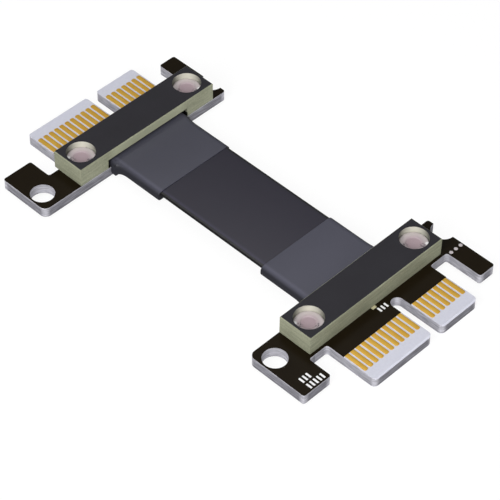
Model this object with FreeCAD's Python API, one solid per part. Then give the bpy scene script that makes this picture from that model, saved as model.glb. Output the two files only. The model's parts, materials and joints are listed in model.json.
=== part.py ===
import FreeCAD, Part
import math
import os

# Short flat crossover cable with a plug-in card-edge board at each end.
# Millimetres, +Z up. +X runs across the boards, away from their hole tabs.
# +Y runs along the cable, from the front board to the back board.
# The part stands on its four rivet tails. The origin is under the middle of its box.

Vector = FreeCAD.Vector

# Card edge, to the standard contact spacing
contact_pitch = 1.0
contact_width = 0.7
contact_length = 3.6
contact_thickness = 0.06
contact_tip_setback = 1.9
contacts_before_key = 11
contacts_after_key = 7
key_step = 3.0
key_slot_width = 1.9
key_slot_depth = 7.95
bevel_run = 0.2
bevel_drop = 0.2
contact_corner_radius = 0.7

# Boards: the notch wall lies between the rivet tails and the side notches,
# and the row shift moves the contacts across
board_thickness = 1.6
front_notch_wall = 1.4
back_notch_wall = 0.2
front_row_shift = 0.05
back_row_shift = -1.1
side_notch_width = 3.4
side_notch_depth = 8.4
hole_tab_width = 5.0
hole_tab_setback = 4.5
plain_tab_width = 2.9
plain_tab_setback = 2.45
tab_corner_radius = 1.0
small_corner_radius = 0.35
mount_hole_diameter = 3.5
mount_hole_wall = 0.27
edge_notch_diameter = 3.5

# Clamp bars, each with a pocket over the soldered conductor ends
bar_width = 5.5
bar_height = 3.0
bar_end_margin = 2.55
bar_edge_chamfer = 0.1
pocket_height = 1.5
pocket_front_wall = 1.3
pocket_seat_wall = 0.45
pocket_side_room = 0.4

# Rivets, sunk in counterbores in the bars
rivet_shank_diameter = 2.4
rivet_hole_clearance = 0.05
rivet_head_diameter = 4.1
rivet_head_height = 0.7
rivet_head_recess = 0.95
rivet_head_clearance = 0.05
rivet_dish_diameter = 2.3
rivet_dish_floor_diameter = 2.0
rivet_dish_depth = 0.1
rivet_tail_diameter = 3.6
rivet_tail_foot_diameter = 3.1
rivet_tail_height = 0.45

# Ribbon of flat conductors in film, and the solder that holds their bare ends
conductor_count = 12
conductor_pitch = 1.0
conductor_width = 0.6
conductor_thickness = 0.1
conductor_clearance = 0.01
film_cover = 0.06
film_margin = 0.4
film_past_sleeve = 0.4
bare_before_solder = 0.4
pad_width = 0.7
pad_thickness = 0.06
pad_sleeve_gap = 0.1
pad_end_margin = 0.2
solder_length = 1.4

# Cable sleeve and the shrink wraps at its ends
board_gap = 38.1
sleeve_wall = 0.12
sleeve_ribbon_room = 0.02
sleeve_side_room = 0.255
sleeve_side_flat = 0.02
sleeve_entry = 0.4
sleeve_board_gap = 0.38
wrap_length = 9.2
wrap_side = 0.365
wrap_cover = 0.12
wrap_belly = 0.98
wrap_side_flat = 0.1
wrap_sleeve_clearance = 0.02
flare_length = 0.9
flare_side = 0.675
flare_entry = 0.6
flare_drop = 1.2
flare_board_clearance = 0.08
flare_corner_radius = 1.0
cove_length = 2.1
cove_steps = 2

# Test points on the front board
test_pad_length = 0.75
test_pad_width = 0.4
test_pad_bar_gap = 0.06
test_pad_place = 8.6
round_pad_count = 3
round_pad_diameter = 0.55
round_pad_past_notch = 0.35
test_point_thickness = 0.05

# Points of an outline nearer than this are one point
same_point = 1e-6

# Heights above the surface that the part stands on
board_bottom = rivet_tail_height
board_top = board_bottom + board_thickness
bar_top = board_top + bar_height
rivet_head_top = bar_top - rivet_head_recess
rivet_head_seat = rivet_head_top - rivet_head_height
conductor_bottom = board_top + sleeve_board_gap + sleeve_wall + sleeve_ribbon_room + film_cover
conductor_top = conductor_bottom + conductor_thickness
film_bottom = conductor_bottom - film_cover
film_top = conductor_top + film_cover
sleeve_bottom = film_bottom - sleeve_ribbon_room - sleeve_wall
sleeve_top = film_top + sleeve_ribbon_room + sleeve_wall

# Widths across the cable, each built on the one inside it
conductor_row_span = (conductor_count - 1) * conductor_pitch
film_width = conductor_row_span + conductor_width + 2 * film_margin
sleeve_width = film_width + 2 * (sleeve_side_room + sleeve_wall)
wrap_width = sleeve_width + 2 * wrap_side
flare_width = sleeve_width + 2 * flare_side
pocket_width = flare_width + 2 * pocket_side_room
rivet_hole_radius = rivet_shank_diameter / 2 + rivet_hole_clearance
rivet_seat_radius = rivet_head_diameter / 2 + rivet_head_clearance
rivet_offset = pocket_width / 2 + pocket_seat_wall + rivet_seat_radius
bar_half_length = rivet_offset + bar_end_margin

# Lengths from the cable edge of a board towards its contacts
hole_line = bar_width / 2
pocket_depth = bar_width - pocket_front_wall
film_entry = sleeve_entry + film_past_sleeve
solder_start = film_entry + bare_before_solder
conductor_entry = solder_start + solder_length
notch_foot = {
    "front": hole_line + rivet_tail_diameter / 2 + front_notch_wall,
    "back": hole_line + rivet_tail_diameter / 2 + back_notch_wall,
}
reach = {end: foot + side_notch_depth for end, foot in notch_foot.items()}

# Places across a board, and along the cable from its middle
row_shift = {"front": front_row_shift, "back": back_row_shift}
contact_row_span = (contacts_before_key + contacts_after_key - 2) * contact_pitch + key_step
contact_margin = (key_step - key_slot_width) / 2
conductor_places = [i * conductor_pitch - conductor_row_span / 2 for i in range(conductor_count)]
half_gap = board_gap / 2


def level(u, v):
    """A point of a level outline."""
    return Vector(u, v, 0)


def upright(u, v):
    """A point of an upright outline across the cable."""
    return Vector(u, 0, v)


def rounded_wire(corners, place):
    """Closed outline through (u, v, radius) corners, each rounded by a tangent arc."""
    points = [place(u, v) for u, v, radius in corners]
    starts = []
    ends_of_arcs = []
    arcs = []
    for i, corner in enumerate(points):
        radius = corners[i][2]
        to_last = (points[i - 1] - corner).normalize()
        to_next = (points[(i + 1) % len(points)] - corner).normalize()
        half_angle = to_last.getAngle(to_next) / 2
        inward = (to_last + to_next).normalize()
        tangent = radius / math.tan(half_angle)
        middle = corner + inward * (radius / math.sin(half_angle) - radius)
        starts.append(corner + to_last * tangent)
        ends_of_arcs.append(corner + to_next * tangent)
        arcs.append(Part.Arc(starts[i], middle, ends_of_arcs[i]).toShape() if radius else None)
    edges = []
    for i, arc in enumerate(arcs):
        if arc:
            edges.append(arc)
        following = starts[(i + 1) % len(points)]
        if ends_of_arcs[i].distanceToPoint(following) > same_point:
            edges.append(Part.LineSegment(ends_of_arcs[i], following).toShape())
    return Part.Wire(edges)


def rounded_box_wire(width, bottom, top, radius):
    """Upright rounded rectangle across the cable, centred on its middle line."""
    half = width / 2
    corners = [(-half, bottom, radius), (half, bottom, radius), (half, top, radius), (-half, top, radius)]
    return rounded_wire(corners, upright)


def along_cable(wire, start, stop):
    """Solid of an upright outline carried along +Y from start to stop."""
    face = Part.Face(wire)
    face.translate(Vector(0, start, 0))
    return face.extrude(Vector(0, stop - start, 0))


def box(x0, x1, y0, y1, z0, z1):
    """Box between two corners."""
    return Part.makeBox(x1 - x0, y1 - y0, z1 - z0, Vector(x0, y0, z0))


def post(x, y, radius, z0, z1):
    """Upright cylinder."""
    return Part.makeCylinder(radius, z1 - z0, Vector(x, y, z0))


def row_of(shape, places):
    """Copies of a shape at places across the part."""
    copies = []
    for x in places:
        copies.append(shape.copy())
        copies[-1].translate(Vector(x, 0, 0))
    return Part.makeCompound(copies)


def first_contact(end):
    """Place across the board of the contact next to the hole tab."""
    return row_shift[end] - contact_row_span / 2


def contact_places(end):
    """Centres of all contacts across one board, in two groups with the key slot between."""
    start = first_contact(end)
    before = [start + i * contact_pitch for i in range(contacts_before_key)]
    after = [before[-1] + key_step + i * contact_pitch for i in range(contacts_after_key)]
    return before + after


def board_sides(end):
    """Left and right side edges of one board."""
    places = contact_places(end)
    left = places[0] - contact_margin - side_notch_width - hole_tab_width
    right = places[-1] + contact_margin + side_notch_width + plain_tab_width
    return left, right


# Each end is modelled with its cable edge on y = 0 and its contacts towards +Y.

def board(end):
    """Board with tabs, side notches and key slot, its holes, and a bevel along its upper contact edge."""
    left, right = board_sides(end)
    places = contact_places(end)
    edge = reach[end]
    notch_end = notch_foot[end]
    block_left = places[0] - contact_margin
    block_right = places[-1] + contact_margin
    slot_left = places[contacts_before_key - 1] + contact_margin
    slot_right = slot_left + key_slot_width
    slot_radius = key_slot_width / 2
    mount_hole_radius = mount_hole_diameter / 2
    hole_tab_end = edge - hole_tab_setback
    plain_tab_end = edge - plain_tab_setback
    slot_end = edge - key_slot_depth
    outline = rounded_wire([
        (left, 0, tab_corner_radius),
        (right, 0, small_corner_radius),
        (right, plain_tab_end, small_corner_radius),
        (right - plain_tab_width, plain_tab_end, small_corner_radius),
        (right - plain_tab_width, notch_end, small_corner_radius),
        (block_right, notch_end, small_corner_radius),
        (block_right, edge, contact_corner_radius),
        (slot_right, edge, contact_corner_radius),
        (slot_right, slot_end, slot_radius),
        (slot_left, slot_end, slot_radius),
        (slot_left, edge, contact_corner_radius),
        (block_left, edge, contact_corner_radius),
        (block_left, notch_end, small_corner_radius),
        (left + hole_tab_width, notch_end, small_corner_radius),
        (left + hole_tab_width, hole_tab_end, small_corner_radius),
        (left, hole_tab_end, small_corner_radius),
    ], level)
    face = Part.Face(outline)
    face.translate(Vector(0, 0, board_bottom))
    plate = face.extrude(Vector(0, 0, board_thickness))
    holes = [
        (left + mount_hole_wall + mount_hole_radius, mount_hole_radius),
        (right, edge_notch_diameter / 2),
        (-rivet_offset, rivet_hole_radius),
        (rivet_offset, rivet_hole_radius),
    ]
    cuts = [post(x, hole_line, radius, board_bottom, board_top) for x, radius in holes]
    bevel = Part.Face(Part.makePolygon([
        Vector(left, edge, board_top),
        Vector(left, edge - bevel_run, board_top),
        Vector(left, edge, board_top - bevel_drop),
        Vector(left, edge, board_top),
    ]))
    cuts.append(bevel.extrude(Vector(right - left, 0, 0)))
    return plate.cut(cuts)


def contacts(end, base):
    """Gold contacts on one face of a board, from the mask line towards the edge."""
    tip = reach[end] - contact_tip_setback
    half = contact_width / 2
    contact = box(-half, half, tip - contact_length, tip, base, base + contact_thickness)
    return row_of(contact, contact_places(end))


def clamp_bar():
    """Bar over the conductor ends, with a pocket open to the cable and sunk seats for the rivets."""
    body = box(-bar_half_length, bar_half_length, 0, bar_width, board_top, bar_top)
    rim = [edge for edge in body.Edges if edge.BoundBox.ZMin > bar_top - bar_edge_chamfer]
    body = body.makeChamfer(bar_edge_chamfer, rim)
    pocket_half = pocket_width / 2
    cuts = [box(-pocket_half, pocket_half, 0, pocket_depth, board_top, board_top + pocket_height)]
    for side in (-1, 1):
        x = side * rivet_offset
        cuts.append(post(x, hole_line, rivet_hole_radius, board_top, bar_top))
        cuts.append(post(x, hole_line, rivet_seat_radius, rivet_head_seat, bar_top))
    return body.cut(cuts)


def rivet(side):
    """Rivet turned about its axis: dished head on its seat, shank, and pressed tail under the board."""
    head = rivet_head_diameter / 2
    shank = rivet_shank_diameter / 2
    dish_floor = rivet_head_top - rivet_dish_depth
    profile = [
        upright(0, 0),
        upright(rivet_tail_foot_diameter / 2, 0),
        upright(rivet_tail_diameter / 2, board_bottom),
        upright(shank, board_bottom),
        upright(shank, rivet_head_seat),
        upright(head, rivet_head_seat),
        upright(head, rivet_head_top),
        upright(rivet_dish_diameter / 2, rivet_head_top),
        upright(rivet_dish_floor_diameter / 2, dish_floor),
        upright(0, dish_floor),
        upright(0, 0),
    ]
    solid = Part.Face(Part.makePolygon(profile)).revolve(Vector(0, 0, 0), Vector(0, 0, 1), 360)
    solid.translate(Vector(side * rivet_offset, hole_line, 0))
    return solid


def solder_pads():
    """One pad on the board under each bare conductor end."""
    start = sleeve_entry + pad_sleeve_gap
    stop = conductor_entry + pad_end_margin
    half = pad_width / 2
    pad = box(-half, half, start, stop, board_top, board_top + pad_thickness)
    return row_of(pad, conductor_places)


def solder_joints():
    """Solder that narrows from each pad up to the conductor it holds."""
    bottom = board_top + pad_thickness
    foot = pad_width / 2
    head = conductor_width / 2
    outline = [
        upright(-foot, bottom),
        upright(foot, bottom),
        upright(head, conductor_bottom),
        upright(-head, conductor_bottom),
        upright(-foot, bottom),
    ]
    joint = along_cable(Part.makePolygon(outline), solder_start, conductor_entry)
    return row_of(joint, conductor_places)


def sleeve_outline(grown):
    """Section of the sleeve with rounded sides, grown all round."""
    radius = (sleeve_top - sleeve_bottom - sleeve_side_flat) / 2 + grown
    return rounded_box_wire(sleeve_width + 2 * grown, sleeve_bottom - grown, sleeve_top + grown, radius)


def wrap_outline(share):
    """Section of the wrap, from its slim part (share 0) to its flare (share 1). Its top stays level."""
    slim_bottom = sleeve_bottom - wrap_belly
    wrap_top = sleeve_top + wrap_cover
    slim_radius = (wrap_top - slim_bottom - wrap_side_flat) / 2
    width = wrap_width + share * (flare_width - wrap_width)
    bottom = slim_bottom + share * (board_top - flare_drop - slim_bottom)
    radius = slim_radius + share * (flare_corner_radius - slim_radius)
    return rounded_box_wire(width, bottom, wrap_top, radius)


def end_wrap():
    """Shrink wrap over the sleeve, straight into the pocket above and coved out under the board edge."""
    stations = [(-wrap_length, 0)]
    for i in range(cove_steps + 1):
        angle = math.pi / 2 * i / cove_steps
        stations.append((-flare_length - cove_length * (1 - math.sin(angle)), 1 - math.cos(angle)))
    stations.append((flare_entry, 1))
    outlines = []
    for y, share in stations:
        outlines.append(wrap_outline(share))
        outlines[-1].translate(Vector(0, y, 0))
    body = Part.makeLoft(outlines, True, True)
    room_top = board_top + pad_thickness + flare_board_clearance
    board_room = box(-bar_half_length, bar_half_length, -flare_board_clearance, bar_width, 0, room_top)
    bore = along_cable(sleeve_outline(wrap_sleeve_clearance), -wrap_length, flare_entry)
    return body.cut([board_room, bore])


def test_pad():
    """Bare test pad on the front board, beside the foot of its bar."""
    x = first_contact("front") + test_pad_place
    start = bar_width + test_pad_bar_gap
    top = board_top + test_point_thickness
    half = test_pad_length / 2
    return box(x - half, x + half, start, start + test_pad_width, board_top, top)


def round_pads():
    """Row of round tinned test points, evenly spread across the front board's plain tab."""
    right = board_sides("front")[1]
    pitch = plain_tab_width / round_pad_count
    places = [right - (i + 0.5) * pitch for i in range(round_pad_count)]
    y = notch_foot["front"] + round_pad_past_notch
    top = board_top + test_point_thickness
    return row_of(post(0, y, round_pad_diameter / 2, board_top, top), places)


# The cable between the ends is modelled in place, with y = 0 at its middle.

def conductors(grown):
    """Row of straight flat conductors that reach into both pockets, each grown all round."""
    half = conductor_width / 2 + grown
    stop = half_gap + conductor_entry
    strip = box(-half, half, -stop, stop, conductor_bottom - grown, conductor_top + grown)
    return row_of(strip, conductor_places)


def ribbon_film():
    """Flat film that holds the conductors apart, with one channel for each."""
    half = film_width / 2
    stop = half_gap + film_entry
    film = box(-half, half, -stop, stop, film_bottom, film_top)
    return film.cut(conductors(conductor_clearance).Solids)


def cable_sleeve():
    """Flat sleeve round the ribbon, from one pocket to the other."""
    stop = half_gap + sleeve_entry
    outside = along_cable(sleeve_outline(0), -stop, stop)
    return outside.cut(along_cable(sleeve_outline(-sleeve_wall), -stop, stop))


def at_end(shape, end):
    """Take a shape of one end to its place: the front end faces the other way."""
    if end == "front":
        placed = shape.mirror(Vector(0, 0, 0), Vector(0, 1, 0))
        placed.translate(Vector(0, -half_gap, 0))
    else:
        placed = shape.copy()
        placed.translate(Vector(0, half_gap, 0))
    return placed


nodes = {
    "ribbon_conductors": conductors(0),
    "ribbon_film": ribbon_film(),
    "cable_sleeve": cable_sleeve(),
    "front_test_pad": at_end(test_pad(), "front"),
    "front_round_pads": at_end(round_pads(), "front"),
}
for end in reach:
    nodes[end + "_board"] = at_end(board(end), end)
    nodes[end + "_upper_contacts"] = at_end(contacts(end, board_top), end)
    nodes[end + "_lower_contacts"] = at_end(contacts(end, board_bottom - contact_thickness), end)
    nodes[end + "_clamp_bar"] = at_end(clamp_bar(), end)
    nodes[end + "_left_rivet"] = at_end(rivet(-1), end)
    nodes[end + "_right_rivet"] = at_end(rivet(1), end)
    nodes[end + "_solder_pads"] = at_end(solder_pads(), end)
    nodes[end + "_solder_joints"] = at_end(solder_joints(), end)
    nodes[end + "_end_wrap"] = at_end(end_wrap(), end)

# The boards are not in line with each other, so the middle of the box is worked out from both.
side_edges = board_sides("front") + board_sides("back")
middle = Vector((min(side_edges) + max(side_edges)) / 2, (reach["back"] - reach["front"]) / 2, 0)

os.makedirs("parts", exist_ok=True)
for name, shape in nodes.items():
    shape.translate(-middle)
    shape.exportStep("parts/" + name + ".step")
    print(name, len(shape.Solids), "solids", round(shape.Volume, 3), "mm3", shape.isValid())
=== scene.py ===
import json

import bmesh
import bpy
import numpy as np
from mathutils import Matrix, Vector


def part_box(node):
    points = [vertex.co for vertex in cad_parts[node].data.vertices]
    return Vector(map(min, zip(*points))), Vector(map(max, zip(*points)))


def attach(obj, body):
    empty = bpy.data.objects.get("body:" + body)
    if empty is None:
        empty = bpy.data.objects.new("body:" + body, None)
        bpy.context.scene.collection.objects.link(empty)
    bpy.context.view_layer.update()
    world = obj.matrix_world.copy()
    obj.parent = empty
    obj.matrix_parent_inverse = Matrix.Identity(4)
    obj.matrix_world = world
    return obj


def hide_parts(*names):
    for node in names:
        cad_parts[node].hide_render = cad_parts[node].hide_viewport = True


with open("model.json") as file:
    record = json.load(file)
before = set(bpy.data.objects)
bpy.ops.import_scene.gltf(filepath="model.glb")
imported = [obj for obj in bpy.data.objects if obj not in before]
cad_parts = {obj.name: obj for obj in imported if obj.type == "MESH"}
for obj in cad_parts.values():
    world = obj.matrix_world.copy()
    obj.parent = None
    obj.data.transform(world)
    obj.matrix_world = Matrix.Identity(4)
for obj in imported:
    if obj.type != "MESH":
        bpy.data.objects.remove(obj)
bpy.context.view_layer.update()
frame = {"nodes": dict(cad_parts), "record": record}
nodes = frame["nodes"]
slots = {part["node"]: part["material_slot"] for part in frame["record"]["subparts"]}

# Looks of a short flat crossover cable with a card-edge board at each end.
# Lengths are metres. mm turns a size in millimetres into metres.
mm = 0.001

# Heights and places that the frame gives
board_low, board_high = (corner.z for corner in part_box("front_board"))
bar_low, bar_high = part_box("front_clamp_bar")
sleeve_low, sleeve_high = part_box("cable_sleeve")
mask_line = -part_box("front_upper_contacts")[1].y
plug_tip = -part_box("front_board")[0].y
board_middle = (board_low + board_high) / 2
cable_x = (sleeve_low.x + sleeve_high.x) / 2
sleeve_half = (sleeve_high.x - sleeve_low.x) / 2
wrap_low, wrap_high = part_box("front_end_wrap")
wrap_half = (wrap_high.x - wrap_low.x) / 2
wrap_top = wrap_high.z
rivets = [name for name in nodes if name.endswith("rivet")]
rivet_axes = {name: (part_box(name)[0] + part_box(name)[1]) / 2 for name in rivets}
bores = [mount for mount in frame["record"]["mounts"] if mount["kind"] == "bore"]
bore_axes = [Vector(mount["pos_m"]) for mount in bores]
bore_radius = bores[0]["dims"]["r_mm"] * mm

# Corners of the board outlines: millimetres from the side with the hole tab, and back from the plug's tip
outline_corners = (
    (0, 4.5), (5.0, 4.5), (5.0, 8.4), (8.4, 8.4), (8.4, 0), (19.5, 0), (20.45, 7.95), (21.4, 0),
    (28.5, 0), (28.5, 8.4), (31.9, 8.4), (31.9, 2.45), (34.8, 2.45))
slot_corners = ((19.5, 7.95), (21.4, 7.95))


def outline_axes(corners):
    """Upright axes at the same corners of both boards' outlines."""
    axes = []
    for end, side in (("front", -1), ("back", 1)):
        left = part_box(end + "_board")[0].x
        axes += [Vector((left + across * mm, side * (plug_tip - back * mm), 0)) for across, back in corners]
    return axes


slot_axes = outline_axes(slot_corners)
corner_axes = outline_axes(outline_corners)
for end in ("front", "back"):
    low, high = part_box(end + "_board")
    cable_edge = high.y if end == "front" else low.y
    corner_axes += [Vector((x, cable_edge, 0)) for x in (low.x, high.x)]


def colour(code):
    """Linear colour, with alpha, of an sRGB hex code."""
    srgb = np.array([int(code[i:i + 2], 16) for i in (1, 3, 5)]) / 255
    linear = np.where(srgb <= 0.04045, srgb / 12.92, ((srgb + 0.055) / 1.055) ** 2.4)
    return (*linear.tolist(), 1.0)


def add(tree, kind, sockets=None, **settings):
    """Add a node with its settings and return its first output in use.

    Each socket gets a value, or a link from another node's output. Sockets 6 and 7 of a
    colour mix are its two colours.
    """
    node = tree.nodes.new(kind)
    for name, value in settings.items():
        setattr(node, name, value)
    for key, value in (sockets or {}).items():
        if isinstance(value, bpy.types.NodeSocket):
            tree.links.new(value, node.inputs[key])
        else:
            node.inputs[key].default_value = value
    return next((output for output in node.outputs if output.enabled), None)


def new_material(name, **fixed):
    """Node material with its tree, its shader and the place on the object in metres.

    Shader inputs that are the same all over are set straight on their sockets.
    """
    material = bpy.data.materials.new(name)
    material.use_nodes = True
    tree = material.node_tree
    tree.nodes.clear()
    shader = tree.nodes.new("ShaderNodeBsdfPrincipled")
    for key, value in fixed.items():
        shader.inputs[key.replace("_", " ")].default_value = value
    add(tree, "ShaderNodeOutputMaterial", {"Surface": shader.outputs["BSDF"]})
    place = tree.nodes.new("ShaderNodeTexCoord").outputs["Object"]
    return material, tree, shader.inputs, place


def axis_distance(tree, place, axes):
    """Level distance from a place to the nearest of some upright axes."""
    far_off = 1.0
    level = add(tree, "ShaderNodeVectorMath", {0: place, 1: (1, 1, 0)}, operation="MULTIPLY")
    nearest = far_off
    for axis in axes:
        away = add(tree, "ShaderNodeVectorMath", {0: level, 1: (axis.x, axis.y, 0)}, operation="DISTANCE")
        nearest = add(tree, "ShaderNodeMath", {0: away, 1: nearest}, operation="MINIMUM")
    return nearest


# Materials

def solder_mask_board():
    """Glass-epoxy board, routed, under black solder mask.

    The mask is a nearly black brown with a low gloss. Past the mask line the bare laminate
    shows pale lavender grey on both faces and on the bevel at the tip. The routed edges show
    its layers: a light line under the upper skin, bands of grey glass cloth, and a light line
    at the foot.
    """
    material, tree, shader, place = new_material(
        "routed_glass_epoxy_under_solder_mask", Specular_IOR_Level=0.08)
    x, y, z = add(tree, "ShaderNodeSeparateXYZ", {0: place}).node.outputs

    skin = 0.02 * mm
    from_middle = add(tree, "ShaderNodeMath", {0: z, 1: board_middle}, operation="SUBTRACT")
    depth = add(tree, "ShaderNodeMath", {0: from_middle}, operation="ABSOLUTE")
    half_board = (board_high - board_low) / 2
    flat = add(tree, "ShaderNodeMath", {0: depth, 1: half_board - skin}, operation="GREATER_THAN")

    bevel = 0.2 * mm
    along = add(tree, "ShaderNodeMath", {0: y}, operation="ABSOLUTE")
    near_tip = add(tree, "ShaderNodeMath", {0: along, 1: plug_tip - bevel - skin}, operation="GREATER_THAN")
    near_top = add(tree, "ShaderNodeMath", {0: z, 1: board_high - bevel - skin}, operation="GREATER_THAN")
    on_bevel = add(tree, "ShaderNodeMath", {0: near_tip, 1: near_top}, operation="MULTIPLY")
    on_face = add(tree, "ShaderNodeMath", {0: flat, 1: on_bevel}, operation="MAXIMUM")

    notch_left = -10.7 * mm
    notch_right = 12.8 * mm
    past_line = add(tree, "ShaderNodeMath", {0: along, 1: mask_line}, operation="GREATER_THAN")
    past_left = add(tree, "ShaderNodeMath", {0: x, 1: notch_left}, operation="GREATER_THAN")
    before_right = add(tree, "ShaderNodeMath", {0: x, 1: notch_right}, operation="LESS_THAN")
    between = add(tree, "ShaderNodeMath", {0: past_left, 1: before_right}, operation="MULTIPLY")
    bare = add(tree, "ShaderNodeMath", {0: past_line, 1: between}, operation="MULTIPLY")

    cloud_size = 5 * mm
    cloud = add(tree, "ShaderNodeTexNoise", {"Vector": place, "Scale": 1 / cloud_size, "Detail": 3.0})
    mask = add(tree, "ShaderNodeMix", {
        "Factor": cloud, 6: colour("#140e05"), 7: colour("#1d160a")}, data_type="RGBA")
    weave_size = 0.35 * mm
    weave = add(tree, "ShaderNodeTexNoise", {"Vector": place, "Scale": 1 / weave_size, "Detail": 2.0})
    pale = add(tree, "ShaderNodeMix", {
        "Factor": weave, 6: colour("#c7c8d5"), 7: colour("#d3d4df")}, data_type="RGBA")
    face = add(tree, "ShaderNodeMix", {"Factor": bare, 6: mask, 7: pale}, data_type="RGBA")

    height = add(tree, "ShaderNodeMapRange", {
        "Value": z, "From Min": board_low, "From Max": board_high})
    layers = add(tree, "ShaderNodeValToRGB", {"Fac": height})
    bands = ((0.0, "#88878e"), (0.08, "#67666d"), (0.2, "#727178"), (0.3, "#85848b"), (0.4, "#6f6e75"),
             (0.52, "#7f7e85"), (0.62, "#6f6e75"), (0.75, "#85848b"), (0.84, "#78777e"), (0.92, "#9d9ca3"),
             (1.0, "#b4b3ba"))
    stops = layers.node.color_ramp.elements
    for position, _ in bands[1:-1]:
        stops.new(position)
    for stop, (position, code) in zip(stops, bands):
        stop.position = position
        stop.color = colour(code)

    thread_size = 0.2 * mm
    thread_run = 8
    shade_dark = 0.66
    shade_light = 1.24
    drawn = add(tree, "ShaderNodeVectorMath", {
        0: place, 1: (1 / thread_run, 1 / thread_run, 1)}, operation="MULTIPLY")
    thread = add(tree, "ShaderNodeTexNoise", {"Vector": drawn, "Scale": 1 / thread_size, "Detail": 2.0})
    shade = add(tree, "ShaderNodeMapRange", {
        "Value": thread, "From Min": 0.3, "From Max": 0.7, "To Min": shade_dark, "To Max": shade_light})

    # Notches and slots are paler than the outline, painted light that makes up for the shade they sit in,
    # and holes are paler still
    notch_foot = 24 * mm
    tab_side = 15.2 * mm
    notch_pale_share = 0.3
    hole_pale_share = 0.6
    before_tab = add(tree, "ShaderNodeMath", {0: x, 1: tab_side}, operation="LESS_THAN")
    past_foot = add(tree, "ShaderNodeMath", {0: along, 1: notch_foot}, operation="GREATER_THAN")
    before_tip = add(tree, "ShaderNodeMath", {0: along, 1: plug_tip - skin}, operation="LESS_THAN")
    in_notch = past_left
    for factor in (before_tab, past_foot, before_tip, notch_pale_share):
        in_notch = add(tree, "ShaderNodeMath", {0: in_notch, 1: factor}, operation="MULTIPLY")
    in_hole = add(tree, "ShaderNodeMath", {
        0: axis_distance(tree, place, bore_axes), 1: bore_radius + skin}, operation="LESS_THAN")
    in_hole = add(tree, "ShaderNodeMath", {0: in_hole, 1: hole_pale_share}, operation="MULTIPLY")
    painted_pale = add(tree, "ShaderNodeMath", {0: in_notch, 1: in_hole}, operation="MAXIMUM")

    # Painted highlight: rounded corners are as pale as holes, and the slots' ends are the palest
    corner_core = 0.4 * mm
    corner_reach = 0.95 * mm
    for axes, share in ((corner_axes, hole_pale_share), (slot_axes, 1.0)):
        turned = add(tree, "ShaderNodeMapRange", {
            "Value": axis_distance(tree, place, axes), "From Min": corner_core, "From Max": corner_reach,
            "To Min": share, "To Max": 0.0})
        painted_pale = add(tree, "ShaderNodeMath", {0: painted_pale, 1: turned}, operation="MAXIMUM")
    # The edge is mixed towards a pale grey there, as painted light and painted highlight
    edge = add(tree, "ShaderNodeMix", {"Factor": painted_pale, 6: layers, 7: colour("#c4c3cb")}, data_type="RGBA")
    edge = add(tree, "ShaderNodeMix", {
        "Factor": 1.0, 6: edge, 7: shade}, data_type="RGBA", blend_type="MULTIPLY")
    finish = add(tree, "ShaderNodeMix", {"Factor": on_face, 6: edge, 7: face}, data_type="RGBA")
    tree.links.new(finish, shader["Base Color"])

    rough_bare = 0.7
    rough_mask = 0.42
    masked = add(tree, "ShaderNodeMath", {0: 1.0, 1: bare}, operation="SUBTRACT")
    glossy = add(tree, "ShaderNodeMath", {0: masked, 1: on_face}, operation="MULTIPLY")
    rough = add(tree, "ShaderNodeMapRange", {"Value": glossy, "To Min": rough_bare, "To Max": rough_mask})
    tree.links.new(rough, shader["Roughness"])
    bump = add(tree, "ShaderNodeBump", {"Height": weave, "Strength": 0.1, "Distance": 0.02 * mm})
    tree.links.new(bump, shader["Normal"])
    return material


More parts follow.
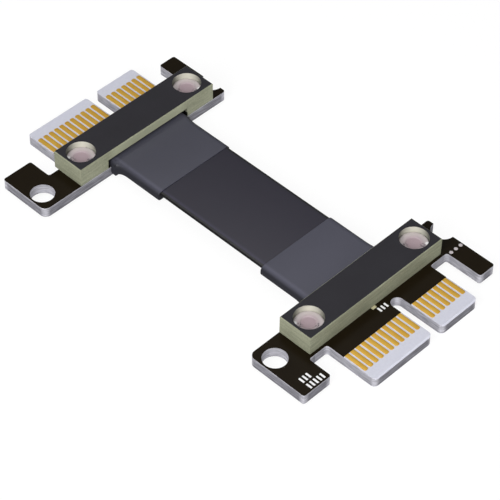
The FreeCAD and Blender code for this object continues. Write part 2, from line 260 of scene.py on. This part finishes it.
def sawn_bar():
    """Thick glass-epoxy bar, sawn and drilled, with a black upper face.

    The cut sides are khaki with the speckle and the faint level layers of glass cloth. In the drilled
    seats two opposite sides of each seat are painted a light cream and the sides between them dark: painted
    light and shade of the seat walls. The pocket over the wire ends is painted dark as painted shade, and
    the side over it is painted paler, painted light where the cable shades it.
    """
    material, tree, shader, place = new_material("sawn_glass_epoxy_black_face", Specular_IOR_Level=0.15)
    x, y, z = add(tree, "ShaderNodeSeparateXYZ", {0: place}).node.outputs

    speck_size = 0.22 * mm
    speck = add(tree, "ShaderNodeTexNoise", {"Vector": place, "Scale": 1 / speck_size, "Detail": 3.0})
    layer_size = 0.3 * mm
    layer_run = 10
    drawn = add(tree, "ShaderNodeVectorMath", {
        0: place, 1: (1 / layer_run, 1 / layer_run, 1)}, operation="MULTIPLY")
    layer = add(tree, "ShaderNodeTexNoise", {"Vector": drawn, "Scale": 1 / layer_size, "Detail": 1.0})
    mottle = add(tree, "ShaderNodeMath", {0: speck, 1: layer}, operation="ADD")
    mottle = add(tree, "ShaderNodeMapRange", {"Value": mottle, "From Min": 0.6, "From Max": 1.4})
    sawn = add(tree, "ShaderNodeMix", {
        "Factor": mottle, 6: colour("#7c7e6a"), 7: colour("#9a9c86")}, data_type="RGBA")

    seat_radius = 2.13 * mm
    slant_dark = -0.43 * seat_radius ** 2
    slant_lit = 0.5 * seat_radius ** 2
    in_seat = add(tree, "ShaderNodeMath", {
        0: axis_distance(tree, place, rivet_axes.values()), 1: seat_radius}, operation="LESS_THAN")
    # The place from the nearest seat's axis: across times along is the radius squared times half the sine
    # of twice the angle
    from_axis = []
    for way, axes in ((x, [axis.x for axis in rivet_axes.values()]),
                      (y, [axis.y for axis in rivet_axes.values()])):
        middle = (max(axes) + min(axes)) / 2
        reach = (max(axes) - min(axes)) / 2
        away = add(tree, "ShaderNodeMath", {0: way, 1: middle}, operation="SUBTRACT")
        side = add(tree, "ShaderNodeMath", {0: away}, operation="SIGN")
        from_axis.append(add(
            tree, "ShaderNodeMath", {0: side, 1: -reach, 2: away}, operation="MULTIPLY_ADD"))
    slant = add(tree, "ShaderNodeMath", {0: from_axis[0], 1: from_axis[1]}, operation="MULTIPLY")
    # Painted light and shade: one pair of opposite sides of each seat is painted lit cream, the other pair
    # dark
    seat_lit = add(tree, "ShaderNodeMapRange", {
        "Value": slant, "From Min": slant_dark, "From Max": slant_lit})
    seat_light_and_shade = add(tree, "ShaderNodeMix", {
        "Factor": seat_lit, 6: colour("#686860"), 7: colour("#d2d0c2")}, data_type="RGBA")
    cut = add(tree, "ShaderNodeMix", {"Factor": in_seat, 6: sawn, 7: seat_light_and_shade}, data_type="RGBA")

    skin = 0.02 * mm
    pocket_play = 0.4 * mm
    pocket_height = 1.5 * mm
    pocket_wall = 1.3 * mm
    pocket_half = wrap_half + pocket_play
    pocket_roof = board_high + pocket_height
    # Painted shade fills the pocket; beside the wrap it slopes down, as the wrap's shoulder does
    shade_run = 1.2 * mm
    shade_slope = 0.7
    bar_side = min(-bar_low.y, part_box("back_clamp_bar")[1].y)
    across = add(tree, "ShaderNodeMath", {0: x, 1: cable_x}, operation="SUBTRACT")
    across = add(tree, "ShaderNodeMath", {0: across}, operation="ABSOLUTE")
    between = add(tree, "ShaderNodeMath", {0: across, 1: pocket_half + skin}, operation="LESS_THAN")
    past = add(tree, "ShaderNodeMath", {0: across, 1: pocket_half - shade_run}, operation="SUBTRACT")
    past = add(tree, "ShaderNodeMath", {0: past, 1: 0.0}, operation="MAXIMUM")
    up = add(tree, "ShaderNodeMath", {0: past, 1: shade_slope, 2: z}, operation="MULTIPLY_ADD")
    under = add(tree, "ShaderNodeMath", {0: up, 1: pocket_roof + skin}, operation="LESS_THAN")
    along = add(tree, "ShaderNodeMath", {0: y}, operation="ABSOLUTE")
    within = add(tree, "ShaderNodeMath", {0: along, 1: bar_side - pocket_wall / 2}, operation="LESS_THAN")
    in_pocket = between
    for test in (under, within):
        in_pocket = add(tree, "ShaderNodeMath", {0: in_pocket, 1: test}, operation="MULTIPLY")
    cut = add(tree, "ShaderNodeMix", {"Factor": in_pocket, 6: cut, 7: colour("#14130f")}, data_type="RGBA")

    # Painted light: the side over the pocket is paler, making up for the shade of the cable
    lit_strip_share = 0.6
    lit_strip_end = 1.5 * mm
    cable_side = max(-bar_high.y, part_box("back_clamp_bar")[0].y)
    above = add(tree, "ShaderNodeMath", {0: 1.0, 1: under}, operation="SUBTRACT")
    beside = add(tree, "ShaderNodeMath", {0: along, 1: cable_side + skin}, operation="LESS_THAN")
    lit_strip = add(tree, "ShaderNodeMapRange", {
        "Value": across, "From Min": pocket_half, "From Max": pocket_half - lit_strip_end,
        "To Max": lit_strip_share})
    for test in (above, beside):
        lit_strip = add(tree, "ShaderNodeMath", {0: lit_strip, 1: test}, operation="MULTIPLY")
    cut = add(tree, "ShaderNodeMix", {"Factor": lit_strip, 6: cut, 7: colour("#b4b79d")}, data_type="RGBA")

    rough_cut = 0.75
    rough_top = 0.5
    on_top = add(tree, "ShaderNodeMath", {0: z, 1: bar_high.z - skin}, operation="GREATER_THAN")
    cloud_size = 4 * mm
    cloud = add(tree, "ShaderNodeTexNoise", {"Vector": place, "Scale": 1 / cloud_size, "Detail": 4.0})
    black = add(tree, "ShaderNodeMix", {
        "Factor": cloud, 6: colour("#29282c"), 7: colour("#302f34")}, data_type="RGBA")
    finish = add(tree, "ShaderNodeMix", {"Factor": on_top, 6: cut, 7: black}, data_type="RGBA")
    tree.links.new(finish, shader["Base Color"])
    rough = add(tree, "ShaderNodeMapRange", {"Value": on_top, "To Min": rough_cut, "To Max": rough_top})
    tree.links.new(rough, shader["Roughness"])
    bump = add(tree, "ShaderNodeBump", {"Height": speck, "Strength": 0.25, "Distance": 0.02 * mm})
    tree.links.new(bump, shader["Normal"])
    return material


def hard_gold():
    """Hard gold plated on copper, brushed lengthwise by plugging.

    A warm yellow with orange drifts. Fine streaks run along each contact.
    """
    material, tree, shader, place = new_material("plated_hard_gold", Metallic=0.45)
    drift_size = 1.6 * mm
    drift = add(tree, "ShaderNodeTexNoise", {"Vector": place, "Scale": 1 / drift_size, "Detail": 3.0})
    tone = add(tree, "ShaderNodeMix", {
        "Factor": drift, 6: colour("#cb962a"), 7: colour("#dab34a")}, data_type="RGBA")
    tree.links.new(tone, shader["Base Color"])
    streak_size = 0.05 * mm
    streak_shares = (1, 0.03, 0.2)
    rough_low = 0.34
    rough_high = 0.56
    drawn = add(tree, "ShaderNodeVectorMath", {0: place, 1: streak_shares}, operation="MULTIPLY")
    streak = add(tree, "ShaderNodeTexNoise", {"Vector": drawn, "Scale": 1 / streak_size, "Detail": 2.0})
    rough = add(tree, "ShaderNodeMapRange", {"Value": streak, "To Min": rough_low, "To Max": rough_high})
    tree.links.new(rough, shader["Roughness"])
    return material


def formed_aluminium():
    """Rivet aluminium, cold formed and blasted.

    A matt silver. The dish that the punch pressed has a mauve cast, and the rim round it is
    paler. Dark flecks sit at two sides of the dish, and a white painted glint at the outer side
    of the rim. Fine grain keeps the light soft.
    """
    material, tree, shader, place = new_material("cold_formed_aluminium", Metallic=0.3)
    grain_size = 0.12 * mm
    grain = add(tree, "ShaderNodeTexNoise", {"Vector": place, "Scale": 1 / grain_size, "Detail": 4.0})
    pressed = add(tree, "ShaderNodeMix", {
        "Factor": grain, 6: colour("#a69299"), 7: colour("#b5a2a8")}, data_type="RGBA")
    rim = add(tree, "ShaderNodeMix", {
        "Factor": grain, 6: colour("#c2b8b9"), 7: colour("#d0c9c9")}, data_type="RGBA")
    dish_radius = 0.75 * mm
    rim_radius = 1.8 * mm
    away = axis_distance(tree, place, rivet_axes.values())
    out = add(tree, "ShaderNodeMapRange", {
        "Value": away, "From Min": dish_radius, "From Max": rim_radius}, interpolation_type="SMOOTHSTEP")
    tone = add(tree, "ShaderNodeMix", {"Factor": out, 6: pressed, 7: rim}, data_type="RGBA")

    # Spots of the dark flecks and of the painted glint are millimetres from the rivet's axis
    fleck_spots = ((0.48, -1.19, 0), (-1.18, 0.49, 0))
    fleck_size = 0.22 * mm
    fleck_core = 0.2 * mm
    fleck_reach = 0.55 * mm
    fleck_share = 0.9
    fleck_axes = [axis + Vector(spot) * mm for axis in rivet_axes.values() for spot in fleck_spots]
    fleck = add(tree, "ShaderNodeTexNoise", {"Vector": place, "Scale": 1 / fleck_size, "Detail": 2.0})
    fleck = add(tree, "ShaderNodeMapRange", {
        "Value": fleck, "From Min": 0.45, "From Max": 0.56, "To Max": fleck_share})
    border = add(tree, "ShaderNodeMapRange", {
        "Value": axis_distance(tree, place, fleck_axes), "From Min": fleck_reach, "From Max": fleck_core})
    fleck = add(tree, "ShaderNodeMath", {0: fleck, 1: border}, operation="MULTIPLY")
    tone = add(tree, "ShaderNodeMix", {"Factor": fleck, 6: tone, 7: colour("#5c535c")}, data_type="RGBA")

    # Painted glint: a white spot at the outer side of each rim
    glint_right = (1.2, -1.38, 0)
    glint_left = (-1.37, 1.21, 0)
    glint_size = 0.38 * mm
    glint_core = 0.18 * mm
    glint_axes = [axis + Vector(glint_right if axis.x > cable_x else glint_left) * mm
                 for axis in rivet_axes.values()]
    glint = add(tree, "ShaderNodeMapRange", {
        "Value": axis_distance(tree, place, glint_axes), "From Min": glint_size, "From Max": glint_core})
    tone = add(tree, "ShaderNodeMix", {"Factor": glint, 6: tone, 7: colour("#ffffff")}, data_type="RGBA")
    tree.links.new(tone, shader["Base Color"])
    rough_low = 0.52
    rough_high = 0.66
    rough = add(tree, "ShaderNodeMapRange", {"Value": grain, "To Min": rough_low, "To Max": rough_high})
    tree.links.new(rough, shader["Roughness"])
    bump = add(tree, "ShaderNodeBump", {"Height": grain, "Strength": 0.1, "Distance": 0.01 * mm})
    tree.links.new(bump, shader["Normal"])
    return material


def soft_finish(name, dark, light, rough, cloud_size, grain_size, **fixed):
    """Finish with slow clouds between two near tones, a fine grain, and a gloss that drifts with it."""
    material, tree, shader, place = new_material(name, **fixed)
    cloud = add(tree, "ShaderNodeTexNoise", {"Vector": place, "Scale": 1 / cloud_size, "Detail": 3.0})
    tone = add(tree, "ShaderNodeMix", {
        "Factor": cloud, 6: colour(dark), 7: colour(light)}, data_type="RGBA")
    tree.links.new(tone, shader["Base Color"])
    sway = 0.06
    grain = add(tree, "ShaderNodeTexNoise", {"Vector": place, "Scale": 1 / grain_size, "Detail": 2.0})
    gloss = add(tree, "ShaderNodeMapRange", {"Value": grain, "To Min": rough - sway, "To Max": rough + sway})
    tree.links.new(gloss, shader["Roughness"])
    bump = add(tree, "ShaderNodeBump", {"Height": grain, "Strength": 0.08, "Distance": 0.01 * mm})
    tree.links.new(bump, shader["Normal"])
    return material


def cable_skin(name, dark, light, fold_highlight, side_shade, fold, rough, by_height, start, stop, **fixed):
    """Smooth dark plastic of the cable.

    Slow clouds, and a painted falloff of light from end to end, run between two near tones. Along the
    fold on its -X side, at the given way across from the cable's middle, it is paler, a painted highlight.
    From start to stop it falls off to a darker tone, painted shade down its sides: by height, or else by
    the way across.
    """
    material, tree, shader, place = new_material(name, **fixed)
    x, y, z = add(tree, "ShaderNodeSeparateXYZ", {0: place}).node.outputs
    offset = add(tree, "ShaderNodeMath", {0: x, 1: cable_x}, operation="SUBTRACT")
    across = add(tree, "ShaderNodeMath", {0: offset}, operation="ABSOLUTE")
    # Painted shade: darker down the sides
    depth = add(tree, "ShaderNodeMapRange", {
        "Value": z if by_height else across, "From Min": start, "From Max": stop},
        interpolation_type="SMOOTHSTEP")
    # Painted highlight along the fold on the -X side
    fold_width = 0.45 * mm
    fold_share = 0.3
    from_fold = add(tree, "ShaderNodeMath", {0: offset, 1: fold}, operation="ADD")
    from_fold = add(tree, "ShaderNodeMath", {0: from_fold}, operation="ABSOLUTE")
    highlight = add(tree, "ShaderNodeMapRange", {
        "Value": from_fold, "From Max": fold_width, "To Min": fold_share, "To Max": 0.0},
        interpolation_type="SMOOTHSTEP")
    cloud_size = 5 * mm
    # Painted light: lighter towards the front end, darker towards the back end
    falloff_end = 15 * mm
    falloff_share = 0.7
    cloud = add(tree, "ShaderNodeTexNoise", {"Vector": place, "Scale": 1 / cloud_size, "Detail": 3.0})
    drift = add(tree, "ShaderNodeMapRange", {
        "Value": y, "From Min": falloff_end, "From Max": -falloff_end, "To Max": falloff_share})
    blend = add(tree, "ShaderNodeMath", {0: cloud, 1: 1 - falloff_share, 2: drift}, operation="MULTIPLY_ADD")
    tone = add(tree, "ShaderNodeMix", {"Factor": blend, 6: colour(dark), 7: colour(light)}, data_type="RGBA")
    tone = add(tree, "ShaderNodeMix", {"Factor": highlight, 6: tone, 7: colour(fold_highlight)}, data_type="RGBA")
    tone = add(tree, "ShaderNodeMix", {"Factor": depth, 6: tone, 7: colour(side_shade)}, data_type="RGBA")
    tree.links.new(tone, shader["Base Color"])
    grain_size = 0.15 * mm
    sway = 0.05
    grain = add(tree, "ShaderNodeTexNoise", {"Vector": place, "Scale": 1 / grain_size, "Detail": 2.0})
    gloss = add(tree, "ShaderNodeMapRange", {"Value": grain, "To Min": rough - sway, "To Max": rough + sway})
    tree.links.new(gloss, shader["Roughness"])
    return material


finishes = {
    "board_laminate": solder_mask_board(),
    "bar_laminate": sawn_bar(),
    "contact_gold": hard_gold(),
    "rivet_aluminium": formed_aluminium(),
    # Tin, wiped on hot: pale and pinkish, half matt
    "solder_tin": soft_finish(
        "hot_dipped_tin", "#c9c1c3", "#ded7d9", rough=0.4, cloud_size=0.8 * mm, grain_size=0.15 * mm,
        Metallic=0.5),
    # Flat copper wire, rolled: warm and bright, hidden in the film
    "ribbon_copper": soft_finish(
        "rolled_copper", "#b5653c", "#c97b50", rough=0.35, cloud_size=1.5 * mm, grain_size=0.1 * mm,
        Metallic=1.0),
    # Clear brown film around the wires, laminated, hidden in the sleeve
    "ribbon_film": soft_finish(
        "laminated_polyester_film", "#8c7a52", "#9b8960", rough=0.3, cloud_size=3 * mm,
        grain_size=0.3 * mm),
    # Sleeve skin, extruded: smooth and dark with a soft sheen, with painted shade down its two sides and a
    # painted highlight along its -X fold
    "sleeve_plastic": cable_skin(
        "extruded_sleeve_plastic", dark="#1c1927", light="#211e2d", fold_highlight="#433e59", side_shade="#0a090b",
        fold=sleeve_half - 0.6 * mm, rough=0.34, by_height=False,
        start=sleeve_half - 0.5 * mm, stop=sleeve_half - 0.3 * mm, Specular_IOR_Level=0.5),
    # Shrink wrap, shrunk with hot air: a lighter, satin blue grey, with painted shade down its sides and a
    # painted highlight along its -X fold
    "wrap_plastic": cable_skin(
        "shrunk_polyolefin", dark="#40404a", light="#4f4f5b", fold_highlight="#646374", side_shade="#25252c",
        fold=sleeve_half - 0.4 * mm, rough=0.45, by_height=True,
        start=wrap_top - 0.02 * mm, stop=wrap_top - 0.36 * mm, Specular_IOR_Level=0.3),
}
for name, node in nodes.items():
    node.data.materials.clear()
    node.data.materials.append(finishes[slots[name]])
# Thin gold on the bare test pad: pale, half matt
nodes["front_test_pad"].data.materials[0] = soft_finish(
    "immersion_gold", "#cbc49b", "#dbd5af", rough=0.4, cloud_size=0.4 * mm, grain_size=0.1 * mm,
    Metallic=0.3)

# White printing ink, screened: matt, slightly uneven
ink_finish = soft_finish(
    "screened_white_ink", "#e2e2e4", "#f2f2f3", rough=0.6, cloud_size=0.5 * mm, grain_size=0.1 * mm)


# Pieces

def surface(name, points, finish, ring=False):
    """Closed piece from points in sheets, rows and columns.

    Columns run round a sheet and close on themselves. Rows run along it. The first and the last row
    shrink to a point or a line, or with ring the last row joins the first.
    """
    weld = 0.0001 * mm
    crease = np.radians(35)
    sheets, rows, columns = points.shape[:3]
    index = np.arange(sheets * rows * columns).reshape(sheets, rows, columns)
    beside = np.roll(index, -1, axis=2)
    corners = (index, beside, np.roll(beside, -1, axis=1), np.roll(index, -1, axis=1))
    quads = np.stack(corners, axis=-1)[:, :rows if ring else rows - 1]
    mesh = bpy.data.meshes.new(name)
    mesh.from_pydata(points.reshape(-1, 3).tolist(), [], quads.reshape(-1, 4).tolist())
    work = bmesh.new()
    work.from_mesh(mesh)
    bmesh.ops.remove_doubles(work, verts=work.verts, dist=weld)
    bmesh.ops.recalc_face_normals(work, faces=work.faces)
    work.to_mesh(mesh)
    work.free()
    mesh.shade_smooth()
    mesh.set_sharp_from_angle(angle=crease)
    mesh.materials.append(finish)
    piece = bpy.data.objects.new(name, mesh)
    bpy.context.scene.collection.objects.link(piece)
    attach(piece, "root")
    return piece


def stand_in(node, points, ring=False):
    """Surface that is shown in place of a CAD node, with that node's finish."""
    piece = surface(node + "_look", points, finishes[slots[node]], ring)
    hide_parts(node)


def four_corners(steps):
    """Points round four corners: their angles, their sides across, and which are in the first half.

    The angle of a point is its corner's number times a quarter turn, plus its share of a quarter turn.
    """
    corner = np.repeat(np.arange(4), steps)
    angle = np.pi / 2 * corner + np.tile(np.linspace(0, np.pi / 2, steps), 4)
    side = np.where((corner == 0) | (corner == 3), 1, -1)
    return angle, side, corner < 2


def rounded_section(half, low, high, run, drop, foot):
    """Rounded rectangle about the cable's middle, as arrays of width and height.

    Each upper corner is a quarter ellipse, run wide and drop high: its centre plus run times the cosine and
    drop times the sine of an angle. Each lower corner is a quarter circle with the radius foot. Sizes are
    columns, one row for each station.
    """
    angle, side, upper = four_corners(steps=12)
    wide = np.where(upper, run, foot)
    tall = np.where(upper, drop, foot)
    across = side * (half - wide) + wide * np.cos(angle)
    height = np.where(upper, high - tall, low + tall) + tall * np.sin(angle)
    return across, height


def end_wrap(end):
    """Shrink wrap at one end of the sleeve: a tube with a rounded-rectangle section.

    Its foot grows by a cove towards the board: with an angle a from 0 to 90 degrees, the share of the
    growth is 1 - cos(a) and the way still to go is cove_length * (1 - sin(a)). Above the board the tube
    goes on into the bar's pocket. Its other end is eased by a quarter circle.
    """
    node = end + "_end_wrap"
    low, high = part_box(node)
    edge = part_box("front_board")[1].y if end == "front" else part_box("back_board")[0].y
    inward = 1 if end == "front" else -1
    reach = high.y - edge if end == "front" else edge - low.y
    entry = edge - low.y if end == "front" else high.y - edge
    side_wall = 0.365 * mm
    under_wall = 0.98 * mm
    slim_half = sleeve_half + side_wall
    slim_low = sleeve_low.z - under_wall
    shoulder_run = 0.95 * mm
    shoulder_drop = 0.65 * mm
    slim_foot = 0.55 * mm
    flare_foot = 0.12 * mm
    flare_length = 0.9 * mm
    cove_length = 2.1 * mm
    board_gap = 0.08 * mm
    board_rise = 0.14 * mm
    lip = 0.07 * mm

    a = np.linspace(np.pi / 2, 0, 20)
    b = np.linspace(0, np.pi / 2, 7)
    straight = np.array([-entry, board_gap, board_gap])
    way = np.concatenate([
        straight, flare_length + cove_length * (1 - np.sin(a)), reach - lip + lip * np.sin(b)])[:, None]
    share = np.concatenate([np.ones(len(straight)), 1 - np.cos(a), 0 * b])[:, None]
    inset = np.concatenate([0 * straight, 0 * a, lip * (1 - np.cos(b))])[:, None]
    across, height = rounded_section(
        slim_half + share * (wrap_half - slim_half) - inset,
        slim_low + share * (low.z - slim_low) + inset,
        high.z - inset,
        shoulder_run - inset,
        shoulder_drop - inset,
        slim_foot + share * (flare_foot - slim_foot) - inset)
    # The first two stations lie over the board
    height[:2] = np.maximum(height[:2], board_high + board_rise)

    bore = 0.01 * mm
    bore_corner = 0.12 * mm
    ends = np.ones((2, 1))
    bore_across, bore_height = rounded_section(
        ends * (sleeve_half + bore),
        ends * (sleeve_low.z - bore), ends * (sleeve_high.z + bore),
        ends * bore_corner, ends * bore_corner, ends * bore_corner)
    across = np.concatenate([across, bore_across])
    height = np.concatenate([height, bore_height])
    way = np.concatenate([way, [[reach], [-entry]]])
    points = np.stack([cable_x + across, edge + inward * way + 0 * across, height], axis=-1)
    stand_in(node, points[None], ring=True)


def sleeve():
    """Flat sleeve as a tube: a section with rounded sides, carried straight along the cable.

    A side is its middle plus the radius times the cosine and the sine of an angle, each raised to a power
    below 1 with its sign kept, which makes it squarer than a half circle. The upper side is crowned: a
    point sinks by crown * (across / half)^2, in full at the top and not at all at the bottom.
    """
    crown = 0.05 * mm
    power = 0.6
    wall = 0.12 * mm
    side_steps = 12
    top_steps = 32
    thick = sleeve_high.z - sleeve_low.z
    inset = np.array([0, 0, wall, wall])[:, None]
    radius = thick / 2 - inset
    middle = (sleeve_high.z + sleeve_low.z) / 2
    flat = sleeve_half - thick / 2
    side = np.linspace(np.pi / 2, 3 * np.pi / 2, side_steps, endpoint=False)
    along_top = np.linspace(1, -1, top_steps, endpoint=False)
    share = np.concatenate([along_top, -np.ones(side_steps), -along_top, np.ones(side_steps)])
    angle = np.concatenate([
        np.full(top_steps, np.pi / 2), side, np.full(top_steps, 3 * np.pi / 2), side + np.pi])
    across = share * flat + radius * np.sign(np.cos(angle)) * np.abs(np.cos(angle)) ** power
    height = middle + radius * np.sign(np.sin(angle)) * np.abs(np.sin(angle)) ** power
    upper = np.clip((height - sleeve_low.z) / thick, 0, 1)
    height = height - np.where(inset > 0, 0, crown * upper * (across / sleeve_half) ** 2)
    along = np.array([sleeve_low.y, sleeve_high.y, sleeve_high.y, sleeve_low.y])[:, None]
    points = np.stack([cable_x + across, along + 0 * across, height], axis=-1)
    stand_in("cable_sleeve", points[None], ring=True)


def eased(corners, ease, steps=7):
    """Outline with its inner corners eased by parabolas.

    A parabola is (1 - t)^2 A + 2 t (1 - t) B + t^2 C, where B is the corner, and A and C lie on its two
    sides at the given distance from it.
    """
    corners = np.array(corners)
    corner = corners[1:-1]
    ease = ease[:, None]
    back, on = corners[:-2] - corner, corners[2:] - corner
    first = corner + ease * back / np.linalg.norm(back, axis=1, keepdims=True)
    last = corner + ease * on / np.linalg.norm(on, axis=1, keepdims=True)
    t = np.linspace(0, 1, steps)[None, :, None]
    bends = (1 - t) ** 2 * first[:, None] + 2 * t * (1 - t) * corner[:, None] + t ** 2 * last[:, None]
    return np.concatenate([corners[:1], bends.reshape(-1, 2), corners[-1:]])


def rivet(node):
    """Rivet with a dished head in its seat and a pressed tail, turned round its axis.

    Profile of radius and height with eased corners: x = radius * cos(turn), y = radius * sin(turn).
    """
    low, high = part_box(node)
    axis = rivet_axes[node]
    head = (high.x - low.x) / 2
    seat = 3.4 * mm
    shank = 1.25 * mm
    tail_foot = 1.55 * mm
    tail = 1.8 * mm
    dish_edge = 1.15 * mm
    dish_foot = 1.0 * mm
    dish_depth = 0.1 * mm
    ease = np.array([0.15, 0.08, 0.02, 0.02, 0.06, 0.15, 0.08, 0.08]) * mm
    profile = eased(
        [(0, low.z), (tail_foot, low.z), (tail, board_low), (shank, board_low), (shank, seat),
         (head, seat), (head, high.z), (dish_edge, high.z), (dish_foot, high.z - dish_depth),
         (0, high.z - dish_depth)], ease)
    turn = np.linspace(0, 2 * np.pi, 72, endpoint=False)
    radius, height = profile[:, :1], profile[:, 1:]
    points = np.stack([
        axis.x + radius * np.cos(turn), axis.y + radius * np.sin(turn), height + 0 * turn], axis=-1)
    stand_in(node, points[None])


def plates(middles, half_width, near, far, near_radius, far_radius, base, top, ease):
    """Thin plates side by side, one sheet each, with a rounded outline and an eased upper rim.

    The outline is a rectangle with quarter circles at its corners. A point is the plate's spine plus
    reach times the way from the spine to the outline. The spine runs along the middle.
    """
    angle, side, forth = four_corners(steps=7)
    radius = np.where(forth, far_radius, near_radius)
    sign = np.sign(far - near)
    across = side * (half_width - radius) + radius * np.cos(angle)
    along = np.where(forth, far - sign * radius, near + sign * radius) + sign * radius * np.sin(angle)
    ends = sorted((near + sign * half_width, far - sign * half_width))
    spine = np.clip(along, *ends)

    b = np.linspace(0, np.pi / 2, 5)
    lift = np.sign(top - base) * ease
    reach = np.concatenate([[0, 1], 1 - ease / half_width * (1 - np.cos(b)), [0]])[:, None]
    height = np.concatenate([[base, base], top - lift * (1 - np.sin(b)), [top]])[:, None]
    x = np.asarray(middles)[:, None, None] + reach * across
    y = spine + reach * (along - spine) + 0 * x
    return np.stack([x, y, height + 0 * x], axis=-1)


def contact_row(node):
    """Row of contacts with rounded tips, in two groups either side of the key slot.

    A contact's middle is its number times the pitch. At the slot the wider step takes one pitch's place.
    """
    low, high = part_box(node)
    half = 0.35 * mm
    pitch = 1.0 * mm
    step = 3.0 * mm
    count = 18
    first_group = 11
    heel_radius = 0.05 * mm
    tip_radius = 0.25 * mm
    ease = 0.03 * mm
    index = np.arange(count)
    middles = low.x + half + pitch * index + np.where(index < first_group, 0, step - pitch)
    near, far = (high.y, low.y) if low.y < 0 else (low.y, high.y)
    base, top = (low.z, high.z) if low.z > board_middle else (high.z, low.z)
    stand_in(node, plates(middles, half, near, far, heel_radius, tip_radius, base, top, ease))


def printed_marks():
    """Plain printed dashes on the front board, thin plates without lettering."""
    ink = 0.012 * mm
    half = 0.15 * mm
    pitch = 0.62 * mm
    corner = 0.04 * mm
    ease = 0.004 * mm
    # Each row's first place across, number of dashes, near end and length, in millimetres
    mark_rows = ((-15.1, 3, -25.75, 0.95), (-15.1, 5, -27.05, 0.95), (1.0, 3, -24.6, 0.8))
    rows = []
    for first, count, near, length in mark_rows:
        middles = first * mm + pitch * np.arange(count)
        rows.append(plates(
            middles, half, near * mm, (near - length) * mm, corner, corner,
            board_high, board_high + ink, ease))
    surface("front_printed_marks", np.concatenate(rows), ink_finish)


sleeve()
printed_marks()
for end in ("front", "back"):
    end_wrap(end)
    contact_row(end + "_upper_contacts")
    contact_row(end + "_lower_contacts")
for name in rivets:
    rivet(name)

# Floor, light and camera

floor_half = 1.5
floor_mesh = bpy.data.meshes.new("floor")
floor_mesh.from_pydata(
    [(-floor_half, -floor_half, 0), (floor_half, -floor_half, 0),
     (floor_half, floor_half, 0), (-floor_half, floor_half, 0)], [], [(0, 1, 2, 3)])
floor = bpy.data.objects.new("floor", floor_mesh)
bpy.context.scene.collection.objects.link(floor)
# White paper, lit from below, with almost no shadow. It is dim in reflections, as with a polariser
paper, tree, shader, _ = new_material("white_paper", Specular_IOR_Level=0.0)
shader["Base Color"].default_value = colour("#606060")
shader["Emission Color"].default_value = colour("#ffffff")
paper_glow = 0.9
paper_in_mirror = 0.1
mirrored = add(tree, "ShaderNodeLightPath").node.outputs["Is Glossy Ray"]
lit = add(tree, "ShaderNodeMapRange", {"Value": mirrored, "To Min": paper_glow, "To Max": paper_in_mirror})
tree.links.new(lit, shader["Emission Strength"])
floor.data.materials.append(paper)

# Dim room above, white towards the horizon, and dim all round in reflections
world = bpy.data.worlds.new("studio")
bpy.context.scene.world = world
world.use_nodes = True
tree = world.node_tree
room = 0.12
horizon_low = 0.08
horizon_high = 0.2
direction = add(tree, "ShaderNodeTexCoord")
upward = add(tree, "ShaderNodeSeparateXYZ", {0: direction}).node.outputs[2]
glow = add(tree, "ShaderNodeMapRange", {
    "Value": upward, "From Min": horizon_low, "From Max": horizon_high, "To Min": 1.0, "To Max": room})
mirrored = add(tree, "ShaderNodeLightPath").node.outputs["Is Glossy Ray"]
glow = add(tree, "ShaderNodeMapRange", {"Value": mirrored, "To Min": glow, "To Max": room})
tree.links.new(glow, tree.nodes["Background"].inputs["Strength"])
tree.nodes["Background"].inputs["Color"].default_value = colour("#ffffff")


def soft_light(name, place, aim, size, power):
    """Square area light at a place, turned towards a point."""
    lamp = bpy.data.lights.new(name, "AREA")
    lamp.size = size
    lamp.energy = power
    holder = bpy.data.objects.new(name, lamp)
    bpy.context.scene.collection.objects.link(holder)
    holder.location = place
    holder.rotation_mode = "QUATERNION"
    holder.rotation_quaternion = (Vector(aim) - Vector(place)).to_track_quat("-Z", "Y")


soft_light("key", (-0.36, -0.10, 0.30), (0, 0, 0), size=0.25, power=2.05)
soft_light("overhead", (-0.06, -0.12, 0.40), (0, 0, 0), size=0.25, power=0.33)
soft_light("front fill", (0.05, -0.55, 0.22), (0, -0.02, 0), size=0.3, power=0.7)
soft_light("sheen", (0.19, 0.21, 0.50), (0, 0, 0), size=0.15, power=0.4)

camera_eye = np.array([-151.97, -149.12, 216.25]) * mm
camera_aim = np.array([-3.35, -5.35, 2.05]) * mm
camera_roll = np.radians(0.874)
camera_lens = 159.25

forward = camera_aim - camera_eye
forward = forward / np.linalg.norm(forward)
level = np.cross(forward, (0, 0, 1))
level = level / np.linalg.norm(level)
upward = np.cross(level, forward)
right = level * np.cos(camera_roll) + upward * np.sin(camera_roll)
top = np.cross(right, forward)
camera_data = bpy.data.cameras.new("photo_view")
camera_data.lens = camera_lens
camera_data.sensor_width = 36
camera_data.clip_start = 0.01
camera = bpy.data.objects.new("photo_view", camera_data)
bpy.context.scene.collection.objects.link(camera)
turned = np.eye(4)
turned[:3] = np.column_stack([right, top, -forward, camera_eye])
camera.matrix_world = Matrix(turned.tolist())
bpy.context.scene.camera = camera
bpy.context.scene.view_settings.view_transform = "Standard"
